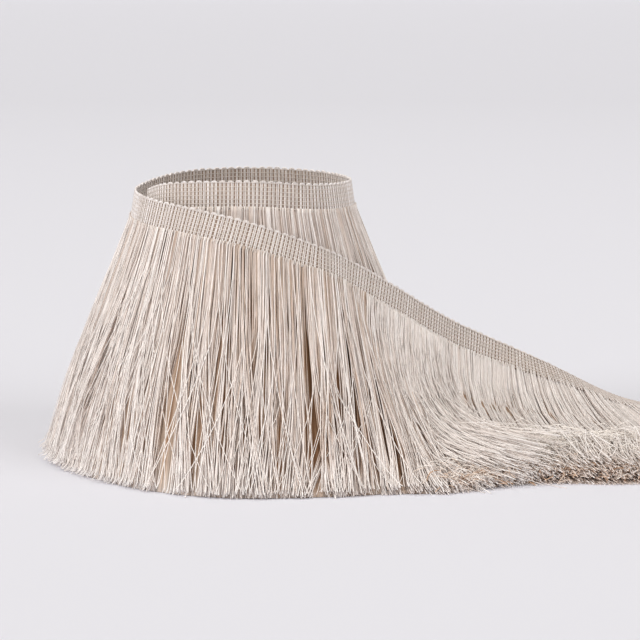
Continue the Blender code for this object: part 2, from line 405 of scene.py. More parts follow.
def fringe_paths(chance, lengths, depths, parting):
    """How yarns leave the surface, along it and off it, and each one's shade of colour."""
    layers = np.searchsorted(LAYER_DEPTHS[1:-1], depths)
    count = len(lengths)
    q = np.broadcast_to(DOWN_SHARE, (count, POINTS))
    shift = np.zeros((count, POINTS))
    lift = np.zeros((count, POINTS))
    tone = np.zeros((count, 1))
    locks = Wisps(chance, lengths, LOCK_SPACING)
    for number, layer in enumerate(LAYERS):
        chosen = layers == number
        place = lengths[chosen][:, None]
        strands = Wisps(chance, lengths[chosen], STRAND_SPACING)
        wisps = Wisps(chance, strands.centre[:, 0], layer.spacing)
        down = q[chosen]
        strength = parting[chosen][:, None] * layer.loose
        tight = 1 - (1 - wisps.tight) * strength
        gather = 1 - (1 - tight) * (smooth(0.18, 0.70, down) - 0.18 * smooth(0.85, 1, down))
        fine = 1 - 0.44 * (0.2 + 0.8 * strength) * smooth(0.02, 0.25, down) * (number > 0)
        own = (strands.centre - wisps.centre) * gather + (place - strands.centre) * fine
        own += strands.drift * STRAND_DRIFT * down
        low, high = LAYER_DEPTHS[number : number + 2]
        deep = ((depths[chosen] - (low + high) / 2) / (high - low) * LAYER_THICKNESS)[:, None]
        deep = deep * (0.5 + 0.5 * smooth(0.03, 0.3, down)) * (1.7 - 0.7 * gather)
        deep += strands.lift * STRAND_LIFT * down
        angle = wisps.turn * smooth(0.1, 1.0, down)
        turned = own * np.cos(angle) - deep * np.sin(angle)
        raised = own * np.sin(angle) + deep * np.cos(angle)
        drift = wisps.drift * WISP_DRIFT * down**1.4 + wisps.swing * layer.swing * down**3
        sway = wisps.sway * WISP_SWAY * np.sin(5 * down + wisps.phase) * down
        drawn = (1 - locks.tight[chosen]) * smooth(0.30, 0.78, down) * strength
        lock = (locks.centre[chosen] - wisps.centre) * drawn * LOCK_PULL
        lock += locks.swing[chosen] * LOCK_SWING * down**2 * strength
        shift[chosen] = turned - (place - wisps.centre) + lock
        shift[chosen] += (drift + sway) * (0.35 + 0.65 * strength)
        lift[chosen] = raised + wisps.lift * WISP_LIFT * down * (0.35 + 0.65 * strength)
        apart = ROOT_LAYER + (FULL_LAYER - ROOT_LAYER) * smooth(0.03, 0.35, down)
        lift[chosen] += layer.level * apart
        tone[chosen] = STRAND_TINT * strands.tone + WISP_TINT * wisps.tone
    own_drift = chance.normal(0, YARN_DRIFT, (count, 1)) * q**1.5
    own_wave = chance.normal(0, YARN_WAVE, (count, 1)) * np.sin(
        chance.uniform(5, 12, (count, 1)) * q + chance.uniform(0, 6.3, (count, 1))
    )
    curl = chance.normal(0, TIP_CURL, (count, 1)) * smooth(0.80, 1.0, q)
    shift += own_drift + own_wave * smooth(0, 0.2, q) + curl
    lift += chance.normal(0, YARN_LIFT, (count, 1)) * q
    return shift, lift, tone + chance.normal(0, YARN_TINT, (count, 1))


def buried(spots, lift):
    """How far each point of each yarn lies below its outermost neighbours, in metres."""
    most = int((TAPE_LENGTH + 2 * GRID_MARGIN) / GRID_STEP)
    column = np.clip(((spots + GRID_MARGIN) / GRID_STEP).astype(int), 0, most)
    row = np.broadcast_to(np.arange(POINTS), spots.shape)
    outermost = np.full((most + 1, POINTS), -1.0)
    np.maximum.at(outermost, (column, row), lift)
    near = [np.roll(outermost, reach, axis=0) for reach in range(-2, 3)]
    around = np.sort(np.stack(near), axis=0)[-2]
    return around[column, row] - lift


# How far the cut ends lie out of line on the surface, and how high they rest off it
END_SCATTER = 0.0020
END_REST = 0.00028


def lay_out(lengths, shift, lift, chance):
    """Points of the yarns from their shift along the tape and their lift off the surface."""
    spots = lengths[:, None] + shift
    paths = on_grid(SURFACE, spots)
    outward = on_grid(OUTWARD, spots)
    level = on_grid(LEVEL, lengths)[:, None]
    paths = paths + outward * lift[..., None]
    further = chance.normal(0, END_SCATTER, (len(lengths), 1, 1))
    foot = np.zeros(POINTS)
    foot[-2:] = (0.4, 1.0)
    paths = paths + level * further * foot[:, None]
    rest = chance.gamma(1.3, END_REST, (len(lengths), 1)) * smooth(0.85, 1, DOWN_SHARE)
    paths[..., 2] = np.maximum(paths[..., 2] + rest, LEAST_HEIGHT)
    return paths, outward


# How strongly the fringe parts into wisps along the course, and how many times as thick as a
# hanging one it lies
Loft = namedtuple("Loft", "place parting thick")
LOFTS = (
    Loft(0, 0.5, 1.0),
    Loft(8, 0.15, 1.0),
    Loft(10.3, 0.12, 1.0),
    Loft(12.4, 0.88, 1.0),
    Loft(16, 1.0, 1.0),
    Loft(17, 1.0, 1.3),
    Loft(18, 0.95, 2.4),
    Loft(19, 0.9, 3.4),
    Loft(22.3, 0.8, 3.5),
    Loft(23, 0.8, 1.4),
)


def loft_at(lengths):
    """How strongly the fringe parts, and how thick it lies, at these lengths."""
    table = np.array(LOFTS).T
    places = place_of(lengths)
    return np.interp(places, table[0], table[1]), np.interp(places, table[0], table[2])


def scatter_roots(chance, count):
    """Yarns' places along the tape, gathered under its ribs, and their depths from 0 to 1."""
    ribs = int(round(TAPE_LENGTH / RIB_PITCH))
    rib = np.arange(count) * ribs // count
    within = chance.uniform(-0.46, 0.46, count) * RIB_PITCH
    places = (rib + 0.5) * RIB_PITCH * TAPE_LENGTH / (ribs * RIB_PITCH) + within
    return places, chance.uniform(0, 1, count)


# How high the flat end's yarns pile up, how much of that is close inside, where the pile's front
# falls, and how far the roots stay under the tape's face
PILE_DEPTH = 0.0054
CORE_SHARE = 0.72
FRONT = smooth(0.78, 0.96, DOWN_SHARE)
ROOT_SINK = 0.0011


def sunk_roots(lengths):
    """How far the roots lie under the tape's face, which tells where it leans far over."""
    lean = course_at(place_of(lengths))[:, 3]
    return ROOT_SINK * smooth(20, 65, lean)


# How the pile's ends frizz, as a spread and a wave's spread, along the tape and off the surface
FRIZZ_SHIFT = (0.0060, 0.0024)
FRIZZ_LIFT = (0.0026, 0.0014)
FRIZZ_RISE = 0.0004

# How far under its neighbours a yarn is when its painted shade starts, and when that painted shade
# is darkest
SHADE_FROM = 0.0004
SHADE_FULL = 0.0030

# A yarn's tint runs from 0, brown, to 1, cream. These are the middle one and what shifts it:
# painted shade where the fringe parts, near the tape, down the pile's front and under other yarns,
# and painted light on the flat end, at the tips and on the pile.
MIDDLE_TINT = 0.84
PARTED_SHADE_TINT = -0.17
ROOT_SHADE_TINT = -0.19
FLAT_END_LIGHT_TINT = 0.26
TIP_LIGHT_TINT = 0.16
PILE_LIGHT_TINT = 0.14
PILE_FRONT_SHADE_TINT = -0.30
BURIED_SHADE_TINT = -0.68


def make_yarns(chance):
    """The hanging yarns: their lengths along the tape, paths, facings, radii and tints."""
    lengths, depths = scatter_roots(chance, YARNS)
    parting, thick = loft_at(lengths)
    shift, lift, tone = fringe_paths(chance, lengths, depths, parting)
    spread = smooth(0.30, 0.95, DOWN_SHARE)
    lift = lift * (1 + (thick[:, None] - 1) * 0.35 * spread)
    piled = smooth(1.2, 2.6, thick)[:, None]
    high = depths[:, None] * (1 - piled * CORE_SHARE) + piled * CORE_SHARE
    lift += high * PILE_DEPTH * (thick[:, None] - 1) * spread * (1 - 0.9 * piled * FRONT)
    frizz = piled * smooth(0.62, 0.98, DOWN_SHARE)
    each = (YARNS, 1)
    wave = np.sin(chance.uniform(9, 26, each) * DOWN_SHARE + chance.uniform(0, 6.3, each))

    def frizzed(middle, straight, waved):
        bent = chance.normal(middle, straight, each)
        return (bent + chance.normal(0, waved, each) * wave) * frizz

    shift += frizzed(0, *FRIZZ_SHIFT)
    lift += frizzed(FRIZZ_RISE, *FRIZZ_LIFT)
    lift -= sunk_roots(lengths)[:, None] * (1 - smooth(0.05, 0.6, DOWN_SHARE))
    paths, facing = lay_out(lengths, shift, lift, chance)
    # Painted shade: a yarn is tinted towards brown by how far it lies under its neighbours
    under = buried(lengths[:, None] + shift, lift) / (1 + 0.7 * (thick[:, None] - 1) * spread)
    shade = smooth(SHADE_FROM, SHADE_FULL, under)
    # Painted light: the tips, the flat end and the pile are tinted lighter and less shaded, and
    # painted shade darkens the pile's front
    painted_tip_light = smooth(0.74, 1, DOWN_SHARE) * (1 - 0.7 * piled)
    flatter = smooth(14, 17, place_of(lengths))[:, None]
    parted = parting[:, None]
    shade = shade * (1 - 0.85 * painted_tip_light) * (0.15 + 0.85 * parted) * (1 - 0.65 * flatter)
    # Painted shade: darker where the fringe parts into wisps, and near the tape
    tone = tone * (0.6 + 0.4 * parted) + MIDDLE_TINT + PARTED_SHADE_TINT * parted
    tone = tone + ROOT_SHADE_TINT * (1 - smooth(0, 0.6, DOWN_SHARE)) * (1 - 0.5 * flatter)
    tone = tone + FLAT_END_LIGHT_TINT * flatter + TIP_LIGHT_TINT * painted_tip_light + PILE_LIGHT_TINT * piled
    tone = tone + PILE_FRONT_SHADE_TINT * piled * smooth(0.86, 0.98, DOWN_SHARE)
    tone = np.clip(tone + BURIED_SHADE_TINT * shade, 0, 1)
    radii = YARN_RADIUS * chance.uniform(0.82, 1.18, (len(lengths), 1))
    radii = radii * chance.uniform(0.93, 1.07, (len(lengths), POINTS))
    return lengths, paths, facing, radii, tone


# How far the stray yarns go to the side, how much they wave, how high they lie at least, how
# much higher they end, and how much higher they lie for each time that the fringe is thicker
STRAY_REACH = 0.0130
STRAY_WAVE = 0.0012
STRAY_LIFT = 0.0013
STRAY_RISE = (0.0002, 0.0032)
STRAY_OVER_PILE = 0.0031


def make_strays(chance):
    """Thin single yarns that cross over the others in the lower half."""
    lengths = chance.uniform(0, TAPE_LENGTH, STRAYS)
    q = np.broadcast_to(DOWN_SHARE, (STRAYS, POINTS))
    begins = chance.uniform(0.05, 0.6, (STRAYS, 1))
    away = np.clip((q - begins) / (1 - begins), 0, 1)
    _, thick = loft_at(lengths)
    shift = chance.normal(0, STRAY_REACH, (STRAYS, 1)) * away**1.3 / thick[:, None]
    shift += chance.normal(0, STRAY_WAVE, (STRAYS, 1)) * np.sin(
        chance.uniform(2, 5, (STRAYS, 1)) * away
    )
    lift = STRAY_LIFT + chance.uniform(*STRAY_RISE, (STRAYS, 1)) * np.sqrt(away)
    lift = lift + STRAY_OVER_PILE * (thick[:, None] - 1) * smooth(0.05, 0.75, q)
    paths, facing = lay_out(lengths, shift, lift, chance)
    radii = STRAY_RADIUS * np.ones((STRAYS, POINTS))
    tone = chance.uniform(0.75, 1.0, (STRAYS, 1)) * np.ones(POINTS)
    return lengths, paths, facing, radii, tone


# Where the swept yarns end, in millimetres from the loop's centre, by where along the course
# they start. They lean over the next part of the fringe.
Sweep = namedtuple("Sweep", "place x y z")
SWEEPS = (
    Sweep(14.0, 88.0, -128.0, 2.0),
    Sweep(15.0, 108.0, -116.0, 5.0),
    Sweep(16.0, 128.0, -104.0, 10.0),
    Sweep(16.9, 143.0, -95.0, 15.0),
)

# How far their ends scatter, in millimetres, and then in metres how proud of the tape they
# start, how much they wave, and how unevenly their last stretch lies
SWEEP_SCATTER = (7, 5, 2.6)
SWEEP_START = 0.0004
SWEEP_ROOT = (0.0002, 0.0020)
SWEEP_WAVE = 0.0012
SWEEP_STRAY = 0.0040
SWEEP_MOST_STRAY = 0.007


def make_swept(chance):
    """Yarns that leave the tape where it runs down and sweep over the fringe beyond it."""
    places = chance.triangular(14.1, 16.0, 17.0, SWEPT)
    edge, _, down, out = sheet_frames(places)
    proud = chance.uniform(*SWEEP_ROOT, (SWEPT, 1))
    start = edge + down * (HEADING_WIDTH - TUCK) + out * SWEEP_START
    root = edge + down * ROOT_BELOW_EDGE + out * proud
    table = np.array(SWEEPS).T
    blur = places + chance.normal(0, 0.22, SWEPT)
    tips = np.stack([np.interp(blur, table[0], column) for column in table[1:]], axis=1)
    tips = LOOP_CENTRE + (tips + chance.normal(0, 1, (SWEPT, 3)) * SWEEP_SCATTER) / 1000
    tips[:, 2] = np.maximum(tips[:, 2], 0.0008)
    level = unit((tips - root) * (1, 1, 0))
    turned = unit(level + np.array((0.55, 0.12, 0)) * smooth(14.4, 16.2, places)[:, None])
    drop = unit(down + np.array((0.0, -0.35, 0.0)))
    chord = np.linalg.norm(tips - root, axis=1, keepdims=True)
    near = root + drop * chord * chance.uniform(0.36, 0.46, (SWEPT, 1))
    far = tips - (turned * 0.98 + np.array((0, 0, -0.12))) * chord * 0.42
    steps = np.array((*BEND_STEPS, 0.97, 1.0))
    t = steps[:, None]
    s = 1 - t
    parts = (
        s**3 * root[:, None]
        + 3 * t * s * s * near[:, None]
        + 3 * t * t * s * far[:, None]
        + t**3 * tips[:, None]
    )
    paths = np.concatenate((start[:, None], parts), axis=1)
    facing = np.broadcast_to(
        unit(out[:, None] * (1 - t) + np.array((0, -0.2, 1.0)) * t), parts.shape
    )
    facing = np.concatenate((out[:, None], facing), axis=1)
    away = np.concatenate(((0.0,), steps))[:, None]
    wave = chance.normal(0, SWEEP_WAVE, (SWEPT, 1, 1)) * np.sin(
        chance.uniform(3, 8, (SWEPT, 1, 1)) * away
    )
    paths = paths + wave * facing
    stray = chance.normal(0, SWEEP_STRAY, (SWEPT, 1, 3)).clip(-SWEEP_MOST_STRAY, SWEEP_MOST_STRAY)
    paths = paths + stray * smooth(0.55, 1.0, away)
    paths[..., 2] = np.maximum(paths[..., 2], LEAST_HEIGHT)
    lengths = np.interp(places, PLACES, LENGTHS)
    radii = YARN_RADIUS * chance.uniform(0.65, 0.95, (SWEPT, 1)) * np.ones(paths.shape[1])
    tone = chance.uniform(0.72, 1.05, (SWEPT, 1)).clip(0, 1) * np.ones(paths.shape[1])
    return lengths, paths, facing, radii, tone


# The close inside of the fringe: the step between its columns, how far it lies behind the
# yarns and how thick it is there, the length over which it tapers at the tape's outer end, how
# uneven its face is, how fine its streaks are, which of the surface's points it goes through,
# and how far its foot is drawn back towards the point before
CORE_STEP = 0.0008
CORE_SINK = 0.0009
CORE_THICKNESS = 0.0004
CORE_TAPER = 0.010
CORE_UNEVEN = 0.0002
CORE_STREAKS = 9.0
CORE_ROWS = np.array((2, 4, 6, 7, 8, 9, 10))
CORE_DRAW = 0.15

# Its least heights over the surface, in front, at its foot and behind
CORE_FRONT_HEIGHT = 0.0009
CORE_FOOT_HEIGHT = 0.0001


def core_lift(thick):
    """How far the close inside of the fringe rises off the surface, down each column."""
    pile = PILE_DEPTH * (thick[:, None] - 1) * smooth(0.30, 0.95, DOWN_SHARE)
    return CORE_SHARE * pile * (1 - FRONT) - CORE_SINK


def make_core(material):
    """The close inside of the fringe, a closed body that shows between the wisps. Its front is in
    dark painted shade, lighter at its foot as a painted glow, and its back is lighter.
    """
    chance = np.random.default_rng(SEED + 2)
    lengths = np.arange(0.0005, TAPE_LENGTH, CORE_STEP)
    parting, thick = loft_at(lengths)
    rows = CORE_ROWS
    spots = np.broadcast_to(lengths[:, None], (len(lengths), POINTS))
    surface, outward = on_grid(SURFACE, spots), on_grid(OUTWARD, spots)
    surface[:, -1] = surface[:, -1] * (1 - CORE_DRAW) + surface[:, -2] * CORE_DRAW
    sunk = sunk_roots(lengths)[:, None] * (1 - smooth(0.05, 0.6, DOWN_SHARE))
    shut = 1 - smooth(TAPE_LENGTH - CORE_TAPER, TAPE_LENGTH, lengths)[:, None]
    ribbed = chance.uniform(-CORE_UNEVEN, CORE_UNEVEN, (len(lengths), 1))
    front = surface + outward * (core_lift(thick) * shut + ribbed - sunk)[..., None]
    back = surface - outward * (CORE_SINK + CORE_THICKNESS + sunk)[..., None]
    back[..., 2] = np.maximum(back[..., 2], CORE_FOOT_HEIGHT)
    least = (CORE_FRONT_HEIGHT,) * (POINTS - 1) + (CORE_FOOT_HEIGHT,)
    front[..., 2] = np.maximum(front[..., 2], least)
    rings = np.concatenate((front[:, rows], back[:, rows[::-1]]), axis=1)
    index, walls = ring_walls(rings)
    sides = rings.shape[1]
    a = np.arange(len(rows) - 1)
    cap = np.stack((a, a + 1, sides - 2 - a, sides - 1 - a), axis=1)
    caps = np.concatenate((cap, (cap + index[-1, 0])[:, ::-1]))
    flatter = smooth(14, 17, place_of(lengths))
    # Painted shade and light: the front is dark brown for the gaps between the wisps, lighter
    # where the fringe barely parts, on the flat end and at the foot; the random part gives streaks
    # like strands
    streaks_and_shade = 0.45 * (1 - parting) + 0.26 * flatter + chance.uniform(0.05, 0.40, len(lengths))
    foot_glow_and_back = (0.45 * smooth(0.86, 1, DOWN_SHARE[rows]), np.full(len(rows), 0.5))
    streaks_and_shade = np.clip(streaks_and_shade[:, None] + np.concatenate(foot_glow_and_back), 0, 1)
    drop = np.concatenate((rows, rows[::-1])) * 0.15
    uvs = np.stack(np.broadcast_arrays(drop, lengths[:, None] * CORE_STREAKS), axis=-1)
    corners = np.concatenate((walls.ravel(), caps.ravel()))
    piece = mesh_piece(
        "yarns_inside",
        rings.reshape(-1, 3),
        [walls, caps],
        [4, 4],
        material,
        streaks_and_shade.ravel(),
        uvs.reshape(-1, 2)[corners].ravel(),
    )
    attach(piece, "root")
    return piece


# The short ends: how high they lie over the close inside, how long they are, their turn from
# the way the fringe points and their tilt, as angles, and how far they bend and arch
FLUFF_HEIGHT = 0.0012
FLUFF_DEPTH = 0.0046
FLUFF_LENGTH = (0.005, 0.014)
FLUFF_TURN = (0.35, 0.95)
FLUFF_TILT = 0.28
FLUFF_BEND = 0.0040
FLUFF_ARCH = 0.0030


def make_fluff(chance):
    """Short curling ends that lie tousled over the flat end's pile and down its front."""
    places = chance.triangular(14.6, 19.0, 23.0, FLUFF)
    lengths = np.interp(places, PLACES, LENGTHS)
    _, thick = loft_at(lengths)
    near = ((lengths + GRID_MARGIN) / GRID_STEP).astype(int)
    row = np.where(
        chance.uniform(0, 1, FLUFF) < 0.5 * smooth(15.5, 17.5, places),
        chance.triangular(0.50, 0.74, 0.90, FLUFF),
        chance.triangular(0.80, 0.95, 1.0, FLUFF),
    )
    spot = np.interp(row, DOWN_SHARE, np.arange(POINTS))
    low = np.minimum(spot.astype(int), POINTS - 2)
    f = (spot - low)[:, None]
    base = SURFACE[near, low] * (1 - f) + SURFACE[near, low + 1] * f
    rise = core_lift(thick)
    each = np.arange(FLUFF)
    rise = rise[each, low] * (1 - f[:, 0]) + rise[each, low + 1] * f[:, 0]
    proud = chance.uniform(0, 1, FLUFF)
    base = base + OUTWARD[near, low] * (rise + FLUFF_HEIGHT + FLUFF_DEPTH * proud)[:, None]
    yaw = np.arctan2(LEVEL[near, 1], LEVEL[near, 0]) + chance.normal(*FLUFF_TURN, FLUFF)
    ahead = np.stack((np.cos(yaw), np.sin(yaw), chance.normal(0.0, FLUFF_TILT, FLUFF)), axis=1)
    beside = np.stack((-np.sin(yaw), np.cos(yaw), 0 * yaw), axis=1)
    front = smooth(0.80, 0.95, row)
    reach = chance.uniform(*FLUFF_LENGTH, (FLUFF, 1)) * (1 - 0.5 * front)[:, None]
    t = np.linspace(0, 1, FLUFF_POINTS)[None, :, None]
    bend = chance.normal(0, FLUFF_BEND, (FLUFF, 1))[:, None] * t * t
    arch = chance.uniform(0.0, FLUFF_ARCH, (FLUFF, 1))[:, None] * np.sin(np.pi * t * 0.8)
    paths = base[:, None] + ahead[:, None] * reach[:, None] * t + beside[:, None] * bend
    paths = paths + np.array((0, 0, 1.0)) * arch
    paths[..., 2] = np.maximum(paths[..., 2], LEAST_HEIGHT)
    facing = np.broadcast_to(np.array((0.0, -0.5, 0.86)), paths.shape)
    radii = STRAY_RADIUS * chance.uniform(0.75, 1.15, (FLUFF, 1)) * np.ones(FLUFF_POINTS)
    # Painted light and shade: ends that lie higher on the pile are tinted lighter, and those down
    # its front darker
    tone = 0.92 + 0.35 * proud + chance.normal(0, 0.08, FLUFF)
    tone = np.clip(tone - front * chance.uniform(0.1, 0.8, FLUFF), 0, 1)
    return lengths, paths, facing, radii, tone[:, None] * np.ones(FLUFF_POINTS)


def make_fringe(material, ends_material):
    """The fringe's yarns and short ends, in a piece of each for each of the solids' stretches."""
    chance = np.random.default_rng(SEED)
    long_ones = [make_yarns(chance), make_strays(chance), make_swept(chance)]
    short_ones = [make_fluff(chance)]
    made = []
    for number in range(FRINGE_PIECES):
        low = TAPE_LENGTH * number / FRINGE_PIECES
        high = TAPE_LENGTH * (number + 1) / FRINGE_PIECES
        kinds = (("yarns", long_ones, material), ("ends", short_ones, ends_material))
        for kind, groups, surface in kinds:
            parts = []
            for lengths, *arrays in groups:
                lengths = np.clip(lengths, 0, TAPE_LENGTH * 0.999999)
                held = (lengths >= low) & (lengths < high)
                parts.append([array[held] for array in arrays])
            paths, facing, radii, tint = (np.concatenate(column) for column in zip(*parts))
            if len(paths) == 0:
                continue
            name = f"{kind}_{number + 1:02d}"
            piece = tubes(name, paths, facing, radii, YARN_SIDES, surface, tint)
            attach(piece, "root")
            if kind == "yarns":
                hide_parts(f"fringe_{number + 1:02d}")
            made.append(piece)
    return made


# The heading's ground: how thick it is, its rise at each rib, and how far down it starts
SHEET_THICKNESS = 0.0005
SHEET_RISE = 0.00005
SHEET_TOP = 0.0008

# Its weft's thread, as its radius, its depth for its width, and its sides
WEFT_RADIUS = 0.00033
WEFT_DEPTH = 1.6
WEFT_SIDES = 5

# The weft lies in hairpins, one inside the other: how far apart they are, how far the halves
# lie from the middle, how far down the loops start, how long a stretch the warp nips, and how
# unevenly the hairpins and their loops lie
HAIRPIN_PITCH = 0.0040
HAIRPIN_HALVES = (0.00066, 0.00134)
LOOP_RISE = 0.0006
NIP_WIDTH = 0.0004
WEFT_SWAY = 0.00006
WEFT_WOBBLE = 0.00003
LOOP_SWAY = 0.00010

# Its warp: how far down each thread lies, how far from the middle, how deep it dips, and how
# many points it has for each rib
WARP_ROWS = (0.0009, 0.0029, 0.0049, 0.0069, 0.0089, 0.0109, 0.0129)
WARP_RADIUS = 0.00020
WARP_REACH = 0.00034
WARP_MORE_ON_FLAT_END = 0.00013
WARP_DIP = 0.00014
WARP_POINTS = 2


def on_tape(lengths, fall, proud):
    """Points on the tape, and its outward directions there.

    lengths is along the tape, fall is down from its upper edge, and proud is off its middle.
    """
    inside = np.clip(lengths, 0, TAPE_LENGTH)
    edge, along, down, out = sheet_frames(place_of(inside))
    over = lengths - inside
    points = edge + along * over[:, None] + down * fall[:, None] + out * proud[:, None]
    return points, out


def make_sheet(material):
    """The woven tape's ground, a thin closed sheet with a low rise at each rib."""
    columns = int(round(TAPE_LENGTH / GRID_STEP))
    lengths = np.linspace(0, TAPE_LENGTH, columns + 1)
    proud = SHEET_THICKNESS / 2 + SHEET_RISE * np.cos(2 * np.pi * lengths / RIB_PITCH)
    falls = np.linspace(SHEET_TOP, HEADING_WIDTH, 3)
    rings = []
    for fall in falls:
        rings.append(on_tape(lengths, np.full_like(lengths, fall), proud)[0])
    for fall in falls[::-1]:
        rings.append(on_tape(lengths, np.full_like(lengths, fall), -proud)[0])
    rings = np.stack(rings, axis=1)
    index, walls = ring_walls(rings)
    caps = np.stack((index[0], index[-1][::-1]))
    corners = [4, rings.shape[1]]
    piece = mesh_piece("tape_ground", rings.reshape(-1, 3), [walls, caps], corners, material)
    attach(piece, "root")
    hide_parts("heading_tape")
    return piece


def make_weft(material):
    """Hairpins of weft: each goes up the tape, round a small loop and down again."""
    chance = np.random.default_rng(SEED + 1)
    count = int(round(TAPE_LENGTH / HAIRPIN_PITCH))
    middles = (np.arange(count) + 0.5) * TAPE_LENGTH / count
    nips = np.array(WARP_ROWS)
    between = (nips[1:] + nips[:-1]) / 2
    stops = np.sort(np.concatenate((nips, between, (HEADING_WIDTH + 0.0002,))))[::-1]
    straight = np.ones(len(stops))
    turn = np.linspace(0, np.pi, 7)[1:-1]
    pieces = []
    for half in HAIRPIN_HALVES:
        across = np.concatenate((-half * straight, -half * np.cos(turn), half * straight))
        loop = LOOP_RISE * (1 - half / HAIRPIN_HALVES[-1] * np.sin(turn))
        fall = np.concatenate((stops, loop, stops[::-1]))
        points = len(across)
        lengths = middles[:, None] + across + chance.normal(0, WEFT_SWAY, (count, 1))
        rise = np.where(fall[None] < LOOP_RISE, chance.normal(0, LOOP_SWAY, (count, 1)), 0)
        falls = fall + rise
        wobble = chance.normal(0, WEFT_WOBBLE, (count, points))
        paths, out = on_tape(lengths.ravel(), falls.ravel(), wobble.ravel())
        nipped = np.exp(-(((falls[..., None] - nips) / NIP_WIDTH) ** 2)).sum(axis=-1)
        radii = WEFT_RADIUS * (1.08 - 0.20 * nipped)
        facing = out.reshape(count, points, 3)
        paths = paths.reshape(count, points, 3)
        pieces.append((paths, facing, radii, chance.uniform(0.5, 0.9, (count, 1))))
    paths, facing, radii, tint = (np.concatenate(column) for column in zip(*pieces))
    piece = tubes("tape_weft", paths, facing, radii, WEFT_SIDES, material, tint, flat=WEFT_DEPTH)
    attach(piece, "root")
    return piece


def make_warp(material):
    """Fine warp threads along both faces, dipping between the ribs and binding them."""
    ribs = int(round(TAPE_LENGTH / RIB_PITCH))
    steps = np.arange(ribs * WARP_POINTS + 1) / WARP_POINTS
    lengths = steps * TAPE_LENGTH / ribs
    dip = WARP_DIP * np.cos(2 * np.pi * steps)
    higher = WARP_MORE_ON_FLAT_END * smooth(14, 17, place_of(lengths))
    paths, facings = [], []
    for fall in WARP_ROWS:
        for face in (1, -1):
            proud = face * (WARP_REACH + higher - dip)
            points, out = on_tape(lengths, np.full_like(lengths, fall), proud)
            paths.append(points)
            facings.append(out)
    paths, facings = np.stack(paths), np.stack(facings)
    radii = np.broadcast_to(WARP_RADIUS + higher / 3, paths.shape[:2])
    piece = tubes("tape_warp", paths, facings, radii, YARN_SIDES, material, 0.5)
    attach(piece, "root")
    return piece


# The materials' colours, from the darkest to the lightest. The yarns' and the ends' darkest
# colours show mostly where painted shade tints them.
YARN_COLOURS = ((0.31, 0.16, 0.08), (0.60, 0.47, 0.38), (0.795, 0.72, 0.68), (0.97, 0.94, 0.925))
# Dark browns, as painted shade in the gaps between the wisps
INSIDE_SHADE_COLOURS = (
    (0.17, 0.08, 0.035),
    (0.36, 0.22, 0.135),
    (0.57, 0.46, 0.38),
    (0.74, 0.66, 0.605),
)
ENDS_COLOURS = ((0.32, 0.14, 0.055), (0.66, 0.45, 0.30), (0.86, 0.74, 0.65), (0.98, 0.94, 0.90))
WEFT_COLOURS = ((0.54, 0.46, 0.415), (0.70, 0.64, 0.60), (0.82, 0.775, 0.76), (0.91, 0.885, 0.885))
WARP_COLOURS = ((0.57, 0.48, 0.43), (0.69, 0.61, 0.56), (0.80, 0.74, 0.70), (0.87, 0.83, 0.80))
# The ground's dark browns are painted shade between the ribs
GROUND_SHADE_COLOURS = ((0.23, 0.17, 0.13), (0.38, 0.30, 0.245))

# Which tints have the two middle colours, how fine the mottle is, how many plies a yarn has,
# how deep they lie, and the length of a turn in the fringe's yarns, the weft and the warp
TINT_PLACES = (0.3, 0.62)
MOTTLES_PER_METRE = 260.0
PLIES = 2
TWIST_DEPTH = 0.0001
YARN_TWIST = 0.0016
WEFT_TWIST = 0.0014
WARP_TWIST = 0.0008


def new_material(name):
    """A material, its nodes and links, and its shader."""
    material = bpy.data.materials.new(name)
    material.use_nodes = True
    nodes = material.node_tree.nodes
    return material, nodes, material.node_tree.links, nodes["Principled BSDF"]


def set_inputs(node, values):
    """Sets a node's inputs, by their names or numbers."""
    for socket, value in values.items():
        node.inputs[socket].default_value = value


